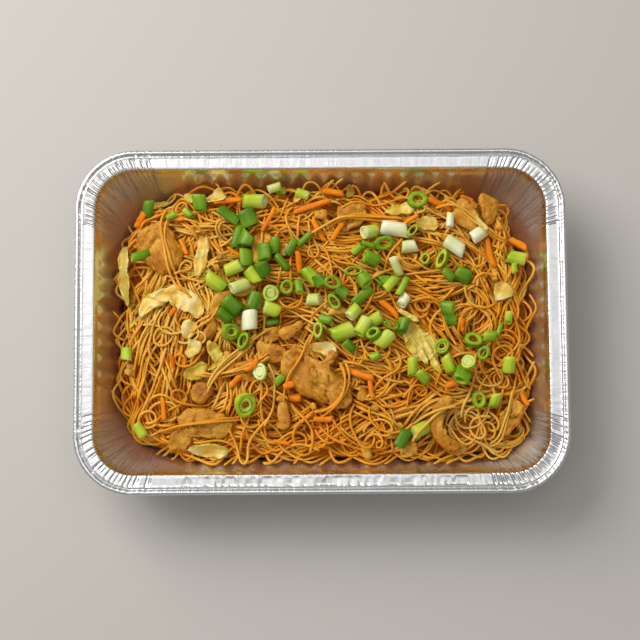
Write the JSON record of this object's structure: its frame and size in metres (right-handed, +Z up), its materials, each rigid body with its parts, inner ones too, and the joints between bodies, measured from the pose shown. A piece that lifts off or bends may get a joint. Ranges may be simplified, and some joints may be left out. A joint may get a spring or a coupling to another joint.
{
  "type": "tray of stir-fried noodles",
  "caption": "Oblong fluted foil tray filled with stir-fried thin noodles, topped with chicken pieces, cabbage, carrot sticks and cut spring onion.",
  "frame": {"origin": "middle of the tray's flat underside, where it rests", "axes": "+X along the tray's length, +Y away from the near long side, +Z up out of the tray"},
  "size_m": [0.33, 0.232, 0.052],
  "materials": {
    "foil": "bright rolled foil with fine creases",
    "noodle": "cooked wheat noodle with a light coat of oil",
    "chicken": "cooked meat, slightly moist",
    "cabbage": "soft cooked leaf, slightly shiny",
    "carrot": "soft cooked root, slightly shiny",
    "spring_onion": "fresh cut stem, satin"
  },
  "bodies": {
    "root": {"cabbage_01": "cabbage", "cabbage_02": "cabbage", "cabbage_03": "cabbage", "cabbage_04": "cabbage", "cabbage_05": "cabbage", "cabbage_06": "cabbage", "cabbage_07": "cabbage", "cabbage_08": "cabbage", "cabbage_09": "cabbage", "cabbage_10": "cabbage", "cabbage_11": "cabbage", "cabbage_12": "cabbage", "carrot_01": "carrot", "carrot_02": "carrot", "carrot_03": "carrot", "carrot_04": "carrot", "carrot_05": "carrot", "carrot_06": "carrot", "carrot_07": "carrot", "carrot_08": "carrot", "carrot_09": "carrot", "carrot_10": "carrot", "carrot_11": "carrot", "chicken_01": "chicken", "chicken_02": "chicken", "chicken_03": "chicken", "chicken_04": "chicken", "chicken_05": "chicken", "chicken_06": "chicken", "chicken_07": "chicken", "chicken_08": "chicken", "chicken_09": "chicken", "chicken_10": "chicken", "chicken_11": "chicken", "chicken_12": "chicken", "chicken_13": "chicken", "noodles": "noodle", "onion_length_01": "spring_onion", "onion_length_02": "spring_onion", "onion_length_03": "spring_onion", "onion_length_04": "spring_onion", "onion_length_05": "spring_onion", "onion_length_06": "spring_onion", "onion_length_07": "spring_onion", "onion_length_08": "spring_onion", "onion_length_09": "spring_onion", "onion_length_10": "spring_onion", "onion_length_11": "spring_onion", "onion_length_12": "spring_onion", "onion_length_13": "spring_onion", "onion_length_14": "spring_onion", "onion_length_15": "spring_onion", "onion_length_16": "spring_onion", "onion_length_17": "spring_onion", "onion_length_18": "spring_onion", "onion_ring_01": "spring_onion", "onion_ring_02": "spring_onion", "onion_ring_03": "spring_onion", "onion_ring_04": "spring_onion", "tray": "foil"}
  },
  "joints": []
}
